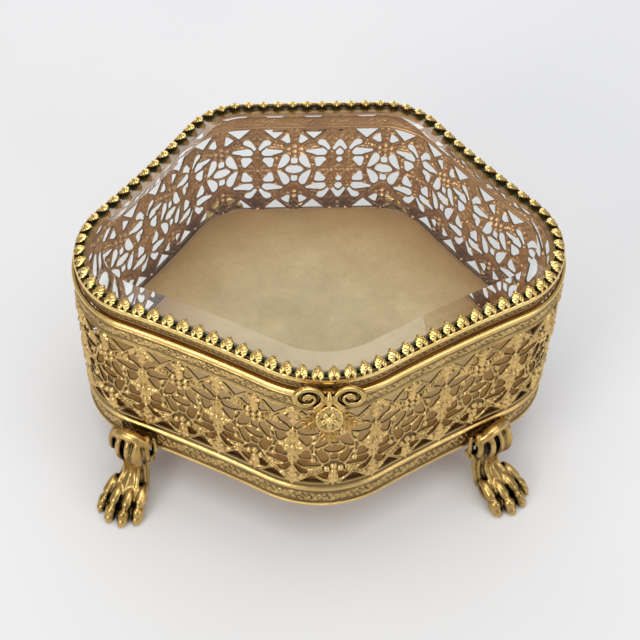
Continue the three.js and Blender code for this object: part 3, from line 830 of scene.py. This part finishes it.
def knee(cast):
    """The folded leaf over the knee: a smooth brow, hanging lappets and two scrolls."""
    cast.lobe((4.3, 0.0, 24.0), (2.9, 5.9, 7.6))
    cast.strand([(4.6, -6.0, 28.6), (5.6, -3.0, 31.2), (5.8, 0.0, 31.8),
                 (5.6, 3.0, 31.2), (4.6, 6.0, 28.6)], [1.6, 1.9, 2.0, 1.9, 1.6])
    for across, out, low in ((-6.3, 5.0, 20.6), (-2.9, 7.2, 17.6), (0.5, 7.7, 17.0), (6.1, 5.0, 20.0)):
        cast.strand(
            [(out - 1.2, across * 0.9, 30.4), (out + 0.9, across, 27.6), (out + 1.0, across, 23.0),
             (out - 0.9, across * 0.85, low)],
            [1.2, 1.15, 1.15, 0.75])
    # A broad pointed lappet with a middle rib covers one side of the front.
    cast.strand([(7.2, 3.6, 30.6), (8.2, 3.7, 26.4), (7.9, 3.3, 21.6), (6.2, 2.6, 16.4)],
                [0.9, 2.1, 2.0, 0.5])
    cast.strand([(8.0, 3.6, 30.0), (10.0, 3.7, 26.2), (9.6, 3.3, 21.6), (7.0, 2.6, 16.8)],
                [0.4, 0.6, 0.6, 0.3])
    for side in (-1, 1):
        ring = []
        for k in range(9):
            angle = FULL_TURN * k / 8
            ring.append((1.7 + 1.5 * math.cos(angle), side * 5.6, 17.6 + 1.5 * math.sin(angle)))
        cast.strand(ring, [0.85, 0.85], 4)
        cast.lobe((1.7, side * 4.6, 17.6), (1.6, 1.2, 1.6))
        cast.strand([(1.9, side * 6.6, 28.2), (2.6, side * 7.3, 24.6), (2.4, side * 6.7, 20.6)],
                    [0.9, 1.1, 0.7])


def foot_matrix(corner, at, heading):
    x, y, r = PLAN_CORNERS[corner]
    at = math.radians(at)
    px = x + (r + WALL_OUTSET) * math.cos(at)
    py = y + (r + WALL_OUTSET) * math.sin(at) + Y_SHIFT
    move = Matrix.Translation((px * MM, py * MM, 0.0))
    return move @ Matrix.Rotation(math.radians(heading), 4, "Z")


# ---- The clasp ornament on the front of the lid ----
# It is drawn in its own plane, x across and z up from its top edge, outwards along -y, and
# then leans out from the lid so that a finger can lift it.

ORNAMENT_TOP = 88.0
LOOP_X = 6.3
LOOP_Z = -3.9
FLOWER_Z = -10.4
SPRAY_TIP = -18.4
LEAN = math.radians(-24)


def ornament_matrix(out):
    """Where the ornament's plane stands, out millimetres in front of the lid band."""
    front = PLAN_FRONT + Y_SHIFT
    move = Matrix.Translation((0.0, (front - out) * MM, ORNAMENT_TOP * MM))
    return move @ Matrix.Rotation(LEAN, 4, "X")


def bow():
    """Two scrolls that curl in from a knot in the middle."""
    cast = Casting()
    for side in (-1, 1):
        outer = []
        for k in range(19):
            angle = math.radians(-62 + 34 * k)
            r = 1.0 - 0.045 * k
            x = LOOP_X - 4.9 * r * math.cos(angle)
            outer.append((side * x, -0.7 - 0.03 * k, LOOP_Z + 3.6 * r * math.sin(angle)))
        cast.strand(outer, [0.85, 0.8, 0.6, 0.5, 0.55], 5)
        cast.lobe((side * LOOP_X, -0.1, LOOP_Z), (4.7, 0.45, 3.7))
        cast.lobe((side * (LOOP_X - 0.4), -0.9, LOOP_Z + 0.2), (1.0, 0.7, 0.75))
        cast.strand([(side * 1.6, -0.8, LOOP_Z - 1.6), (side * 3.4, -0.7, LOOP_Z - 4.2),
                     (side * 5.6, -0.5, LOOP_Z - 4.3)], [0.8, 0.65, 0.4])
    cast.strand([(0, -0.8, LOOP_Z + 1.6), (0, -1.1, LOOP_Z - 0.6), (0, -0.7, LOOP_Z - 3.4)],
                [0.7, 1.1, 0.9])
    cast.lobe((0.0, 1.1, LOOP_Z + 1.0), (2.6, 1.6, 0.8))
    cast.lobe((0.0, -0.1, LOOP_Z - 4.0), (2.6, 0.5, 4.0))
    return cast.pour("bow", 0.2)


def serrated_leaf(cast, root, tip, half, fingers):
    """A flat leaf with a middle rib and pointed fingers along both edges."""
    way = Vector((tip[0] - root[0], tip[1] - root[1]))
    side = Vector((-way.y, way.x)).normalized()
    for k in range(fingers):
        share = k / fingers
        start = Vector(root) + way * share
        width = half * (1.0 - 0.6 * share)
        for sign in (-1, 1):
            end = start + side * sign * width + way * (0.9 / fingers)
            cast.strand([(start.x, 0.0, start.y), (end.x, -0.5, end.y)], [1.1, 0.55], 7)
    cast.strand([(root[0], -1.0, root[1]), (tip[0], -0.8, tip[1])], [0.5, 0.4], 9)
    cast.lobe((tip[0], -0.4, tip[1]), (0.85, 0.6, 0.85), detail=2)


def leaf_spray():
    """Serrated leaves behind the flower: one to each side and one hanging down."""
    cast = Casting()
    for side in (-1, 1):
        serrated_leaf(cast, (side * 2.0, FLOWER_Z + 0.4), (side * 7.2, FLOWER_Z - 3.2), 3.0, 4)
    serrated_leaf(cast, (0.0, FLOWER_Z - 2.6), (0.0, SPRAY_TIP), 3.0, 4)
    return cast.pour("spray", 0.18)


def clasp_flower():
    """A flower with a ruffled double row of petals round a ringed boss."""
    cast = Casting()
    for k in range(6):
        angle = math.radians(90 + 60 * k)
        for spread, out, r in ((0.0, 2.7, 1.55), (-19.0, 3.2, 1.0), (19.0, 3.2, 1.0)):
            way = angle + math.radians(spread)
            centre = (out * math.cos(way), -0.4 - 0.2 * out, FLOWER_Z + 1.08 * out * math.sin(way))
            cast.lobe(centre, (r, 0.6, r))
    for k in range(5):
        way = math.radians(54 + 72 * k)
        cast.lobe((1.75 * math.cos(way), -1.7, FLOWER_Z + 1.75 * math.sin(way)), (0.95, 0.6, 0.95))
    cast.lobe((0.0, -1.9, FLOWER_Z), (1.15, 0.7, 1.15))
    cast.lobe((0.0, -2.5, FLOWER_Z), (0.5, 0.4, 0.5))
    return cast.pour("flower", 0.15, 1)


# ---- Materials ----

class Nodes:
    """Short names for the few nodes that the materials are made of."""

    def __init__(self, name):
        self.material = bpy.data.materials.new(name)
        self.material.use_nodes = True
        self.tree = self.material.node_tree
        self.shader = self.tree.nodes["Principled BSDF"]
        self.output = self.tree.nodes["Material Output"]

    def node(self, kind, **values):
        made = self.tree.nodes.new(kind)
        for key, value in values.items():
            setattr(made, key, value)
        return made

    def link(self, source, target):
        self.tree.links.new(source, target)

    def noise(self, size, detail=4.0, rough=0.55):
        """Noise with features of about size millimetres."""
        coords = self.node("ShaderNodeTexCoord")
        made = self.node("ShaderNodeTexNoise")
        made.inputs["Scale"].default_value = 1.0 / (size * MM)
        made.inputs["Detail"].default_value = detail
        made.inputs["Roughness"].default_value = rough
        self.link(coords.outputs["Object"], made.inputs["Vector"])
        return made.outputs["Fac"]

    def spread(self, value, low, high, to_low=0.0, to_high=1.0):
        made = self.node("ShaderNodeMapRange", clamp=True)
        made.inputs["From Min"].default_value = low
        made.inputs["From Max"].default_value = high
        made.inputs["To Min"].default_value = to_low
        made.inputs["To Max"].default_value = to_high
        self.link(value, made.inputs["Value"])
        return made.outputs["Result"]

    def mix(self, share, first, second):
        made = self.node("ShaderNodeMix", data_type="RGBA")
        factor, a, b = (made.inputs[k] for k in (0, 6, 7))
        for socket, value in ((factor, share), (a, first), (b, second)):
            if isinstance(value, (int, float)):
                socket.default_value = value
            elif isinstance(value, tuple):
                socket.default_value = (*value, 1.0)
            else:
                self.link(value, socket)
        return made.outputs[2]

    def multiply(self, first, second):
        made = self.node("ShaderNodeMath", operation="MULTIPLY")
        for socket, value in zip(made.inputs, (first, second)):
            if isinstance(value, (int, float)):
                socket.default_value = value
            else:
                self.link(value, socket)
        return made.outputs[0]

    def bump(self, height, depth):
        made = self.node("ShaderNodeBump")
        made.inputs["Strength"].default_value = 1.0
        made.inputs["Distance"].default_value = depth * MM
        self.link(height, made.inputs["Height"])
        self.link(made.outputs["Normal"], self.shader.inputs["Normal"])

    def set(self, **values):
        for key, value in values.items():
            self.shader.inputs[key.replace("_", " ")].default_value = value

    def colour(self, value):
        self.link(value, self.shader.inputs["Base Color"])

    def roughness(self, value):
        self.link(value, self.shader.inputs["Roughness"])


def open_share(nodes, reach, low, high, only_local=True):
    """How open to its surroundings a point is, from 0 in a groove to 1."""
    made = nodes.node("ShaderNodeAmbientOcclusion", samples=8, only_local=only_local)
    made.inputs["Distance"].default_value = reach * MM
    return nodes.spread(made.outputs["AO"], low, high)


def gilt(name, bright, worn, deep, rough, recess=None, grooves=None, grain=(0.45, 0.03)):
    """Gilded metal: bright on the high places, dark where dirt and patina gather."""
    nodes = Nodes(name)
    tone = nodes.mix(nodes.spread(nodes.noise(9.0), 0.35, 0.65), bright, worn)
    if recess is not None:
        height = nodes.node("ShaderNodeAttribute", attribute_name="recess").outputs["Fac"]
        tone = nodes.mix(nodes.spread(height, recess[0], recess[1]), deep, tone)
    if grooves is not None:
        tone = nodes.mix(open_share(nodes, *grooves), deep, tone)
    speckle = nodes.spread(nodes.noise(0.8, 6.0), 0.62, 0.75)
    nodes.colour(nodes.mix(nodes.multiply(speckle, 0.35), tone, deep))
    nodes.roughness(nodes.spread(nodes.noise(1.6), 0.3, 0.7, rough - 0.07, rough + 0.1))
    nodes.bump(nodes.noise(grain[0], 5.0), grain[1])
    nodes.set(Metallic=1.0)
    return nodes.material


def velvet_material():
    nodes = Nodes("velvet_tan")
    cloud = nodes.spread(nodes.noise(14.0, 7.0, 0.72), 0.3, 0.7)
    tone = nodes.mix(cloud, (0.59, 0.44, 0.24), (0.85, 0.67, 0.40))
    pile = nodes.spread(nodes.noise(0.5, 3.0, 0.7), 0.3, 0.7)
    tone = nodes.mix(nodes.multiply(pile, 0.3), tone, (0.50, 0.36, 0.19))
    # Painted shade and painted gold bounce light: the cushion turns golden brown wherever open_share
    # finds walls within 44 mm. This stands in for the shade and gold-tinted light near the walls, not
    # for dirt on the cloth.
    painted_wall_shade = (0.42, 0.225, 0.06)
    nodes.colour(nodes.mix(open_share(nodes, 44.0, 0.68, 0.93, False), painted_wall_shade, tone))
    nodes.set(Roughness=0.95, Sheen_Weight=0.35, Sheen_Roughness=0.4)
    nodes.shader.inputs["Sheen Tint"].default_value = (0.95, 0.85, 0.65, 1.0)
    nodes.bump(nodes.noise(0.35, 4.0, 0.7), 0.12)
    return nodes.material


def card_material():
    nodes = Nodes("card_brown")
    fibre = nodes.spread(nodes.noise(2.2, 8.0, 0.7), 0.3, 0.7)
    nodes.colour(nodes.mix(fibre, (0.20, 0.135, 0.075), (0.29, 0.205, 0.12)))
    nodes.set(Roughness=0.9)
    nodes.bump(nodes.noise(0.5, 6.0), 0.06)
    return nodes.material


def steel_material():
    nodes = Nodes("steel_worn")
    dull = nodes.spread(nodes.noise(1.5, 6.0), 0.35, 0.7)
    nodes.colour(nodes.mix(dull, (0.42, 0.40, 0.36), (0.25, 0.22, 0.18)))
    nodes.roughness(nodes.spread(nodes.noise(0.8), 0.3, 0.7, 0.28, 0.45))
    nodes.set(Metallic=1.0)
    return nodes.material


def glass_material(name, tint, rough):
    """Clear glass that lets lamps and soft light straight through."""
    nodes = Nodes(name)
    nodes.set(Roughness=rough, IOR=1.5, Transmission_Weight=1.0)
    smear = nodes.spread(nodes.noise(22.0, 3.0), 0.3, 0.7)
    tinted = nodes.mix(smear, tint, tuple(0.97 * c for c in tint))
    nodes.colour(tinted)
    clear = nodes.node("ShaderNodeBsdfTransparent")
    clear.inputs["Color"].default_value = (*tint, 1.0)
    path = nodes.node("ShaderNodeLightPath")
    either = nodes.node("ShaderNodeMath", operation="MAXIMUM")
    nodes.link(path.outputs["Is Shadow Ray"], either.inputs[0])
    nodes.link(path.outputs["Is Diffuse Ray"], either.inputs[1])
    mixed = nodes.node("ShaderNodeMixShader")
    nodes.link(either.outputs[0], mixed.inputs[0])
    nodes.link(nodes.shader.outputs[0], mixed.inputs[1])
    nodes.link(clear.outputs[0], mixed.inputs[2])
    nodes.link(mixed.outputs[0], nodes.output.inputs["Surface"])
    return nodes.material


def edge_material():
    """The ground edge of the pane, bottle green where the eye looks along the glass."""
    nodes = Nodes("glass_edge_green")
    tone = nodes.spread(nodes.noise(3.0), 0.3, 0.7)
    nodes.colour(nodes.mix(tone, (0.004, 0.028, 0.010), (0.012, 0.055, 0.020)))
    nodes.set(Roughness=0.35, Specular_IOR_Level=0.3)
    return nodes.material


def paper_floor():
    nodes = Nodes("pale_floor")
    cloud = nodes.spread(nodes.noise(180.0, 3.0), 0.3, 0.7)
    nodes.colour(nodes.mix(cloud, (0.80, 0.80, 0.81), (0.83, 0.83, 0.835)))
    nodes.set(Roughness=0.85)
    return nodes.material


FILIGREE = gilt("gilt_filigree_satin", (0.84, 0.58, 0.225), (0.68, 0.455, 0.17), (0.065, 0.042, 0.017),
                0.33, recess=(0.0, 0.6), grooves=(1.1, 0.35, 0.85), grain=(0.9, 0.11))
POLISHED = gilt("gilt_polished_bright", (0.95, 0.69, 0.27), (0.86, 0.58, 0.19), (0.22, 0.12, 0.03),
                0.2, grooves=(0.9, 0.3, 0.75))
BAND = gilt("gilt_band_brown", (0.50, 0.34, 0.14), (0.38, 0.25, 0.10), (0.10, 0.065, 0.028),
            0.42, recess=(-0.05, 0.24), grain=(0.9, 0.08))
CAST = gilt("gilt_cast_patina", (0.76, 0.51, 0.18), (0.44, 0.28, 0.09), (0.014, 0.013, 0.008),
            0.3, grooves=(5.0, 0.62, 1.0))
CLASP = gilt("gilt_clasp_patina", (0.88, 0.62, 0.24), (0.62, 0.40, 0.13), (0.025, 0.018, 0.008),
             0.26, grooves=(2.4, 0.5, 0.95))
SPRAY = gilt("gilt_spray_brown", (0.66, 0.40, 0.12), (0.44, 0.25, 0.07), (0.025, 0.014, 0.006),
             0.28, grooves=(2.0, 0.55, 1.0))
INSIDE = gilt("gilt_inside_coppery", (0.70, 0.45, 0.235), (0.55, 0.34, 0.17), (0.2, 0.11, 0.05),
              0.45)
LEDGE = gilt("gilt_ledge_amber", (0.46, 0.26, 0.085), (0.32, 0.175, 0.06), (0.10, 0.05, 0.02),
             0.35)
# Painted shade: this dark gilt goes on the sides of cut openings and on the teeth's inner faces. It
# stands in for the shadow that falls there, not for a colour of the metal.
PAINTED_SHADE_GILT = gilt("gilt_painted_shade", (0.20, 0.13, 0.06), (0.13, 0.085, 0.04), (0.03, 0.02, 0.01),
                0.5)
HINGE = gilt("gilt_hinge_satin", (0.70, 0.47, 0.18), (0.55, 0.36, 0.13), (0.08, 0.05, 0.02),
             0.36, grooves=(1.0, 0.3, 0.8))
STEEL = steel_material()
VELVET = velvet_material()
CARD = card_material()
GLASS = glass_material("glass_clear", (0.97, 0.99, 0.975), 0.0)
GLASS_EDGE = edge_material()


# ---- Assembly ----

def finish_piece(piece, body, nodes, materials):
    for material in materials:
        piece.data.materials.append(material)
    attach(piece, body)
    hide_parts(*nodes)
    return piece


def dress(node, material):
    """Give a kept CAD node its material."""
    piece = bpy.data.objects[node]
    piece.data.materials.clear()
    piece.data.materials.append(material)


# The sides of the wall's holes take the dark gilt, a painted shade.
finish_piece(filigree_wall(), "box", ["filigree_wall"],
             [FILIGREE, INSIDE, PAINTED_SHADE_GILT])
finish_piece(rim_wire(), "box", ["rim_wire"], [POLISHED])
cushion = finish_piece(velvet_pad(), "box", ["velvet_pad"], [VELVET])
# The band's open top and bottom edges take the dark gilt, a painted shade.
finish_piece(lid_band(), "lid", ["lid_band"],
             [BAND, LEDGE, PAINTED_SHADE_GILT])
finish_piece(lid_ledge(), "lid", [], [LEDGE])
# The teeth's inner faces and cut sides take the dark gilt, a painted shade.
finish_piece(gallery(), "lid", ["gallery_strip"],
             [POLISHED, PAINTED_SHADE_GILT, PAINTED_SHADE_GILT])
finish_piece(glass_pane(), "lid", ["glass_pane"], [GLASS, GLASS_EDGE])

paw = lion_paw()
for foot, (corner, at, heading) in FEET.items():
    mesh = paw.copy()
    piece = place("lion_foot_" + foot, mesh, foot_matrix(corner, at, heading))
    finish_piece(piece, "box", ["foot_" + foot], [CAST])


ORNAMENT = {
    "leaf_spray": (leaf_spray, 1.7, ["clasp_leaves"], SPRAY),
    "bow_scrolls": (bow, 1.6, ["thumb_bow"], CLASP),
    "petal_flower": (clasp_flower, 2.2, ["clasp_flower", "clasp_rivet"], CLASP),
}
for name, (build, out, nodes, material) in ORNAMENT.items():
    piece = place(name, build(), ornament_matrix(out))
    finish_piece(piece, "lid", nodes, [material])

KEPT = {
    "base_plate": INSIDE,
    "pad_board": CARD,
    "hinge_leaf_body": HINGE,
    "hinge_leaf_lid": HINGE,
    "hinge_pin": POLISHED,
}
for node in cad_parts:
    if node in KEPT:
        dress(node, KEPT[node])
    elif "screw" in node or "nut" in node:
        dress(node, STEEL)


# ---- Floor, light and camera ----

def make_floor():
    size = 4000.0
    points = [(-size, -size, -0.05), (size, -size, -0.05), (size, size, -0.05), (-size, size, -0.05)]
    floor = make_mesh("floor", np.array(points), [(np.array([[0, 1, 2, 3]]), 0)])
    floor.data.materials.append(paper_floor())


def softbox(name, place_mm, aim_mm, width, power, tint=(1.0, 1.0, 1.0)):
    data = bpy.data.lights.new(name, "AREA")
    data.shape = "RECTANGLE"
    data.size = width[0] * MM
    data.size_y = width[1] * MM
    data.energy = power
    data.color = tint
    lamp = bpy.data.objects.new(name, data)
    lamp.location = Vector(place_mm) * MM
    aim = Vector(aim_mm) * MM - lamp.location
    lamp.rotation_euler = aim.to_track_quat("-Z", "Y").to_euler()
    bpy.context.scene.collection.objects.link(lamp)


def make_lights():
    softbox("overhead", (0, -120, 1100), (0, 0, 40), (900, 900), 6.1)
    softbox("front_left", (-700, -800, 600), (0, 0, 50), (500, 500), 4.3, (1.0, 0.97, 0.92))
    softbox("front_right", (800, -600, 450), (0, 0, 50), (400, 600), 1.5)
    softbox("behind", (0, 900, 500), (0, 0, 60), (900, 350), 2.3)
    world = bpy.data.worlds.new("studio")
    world.use_nodes = True
    world.node_tree.nodes["Background"].inputs["Color"].default_value = (0.9, 0.92, 0.95, 1.0)
    world.node_tree.nodes["Background"].inputs["Strength"].default_value = 0.42
    bpy.context.scene.world = world


# Where the camera looks, from how far, how it is turned, and its focal length.
AIM = Vector((-0.4, -25.7, 69.4))
DISTANCE = 472.5
AZIMUTH = math.radians(-4.42)
ELEVATION = math.radians(51.9)
ROLL = math.radians(2.22)
LENS = 85.45


def make_camera():
    data = bpy.data.cameras.new("camera")
    data.lens = LENS
    data.sensor_width = 36.0
    data.dof.use_dof = False
    data.clip_end = 50.0
    camera = bpy.data.objects.new("camera", data)
    away = Vector((
        math.sin(AZIMUTH) * math.cos(ELEVATION),
        -math.cos(AZIMUTH) * math.cos(ELEVATION),
        math.sin(ELEVATION),
    ))
    turn = (-away).to_track_quat("-Z", "Y").to_matrix().to_4x4() @ Matrix.Rotation(ROLL, 4, "Z")
    camera.matrix_world = Matrix.Translation((AIM + away * DISTANCE) * MM) @ turn
    bpy.context.scene.collection.objects.link(camera)
    bpy.context.scene.camera = camera


make_floor()
make_lights()
make_camera()
bpy.context.scene.view_settings.view_transform = "Standard"
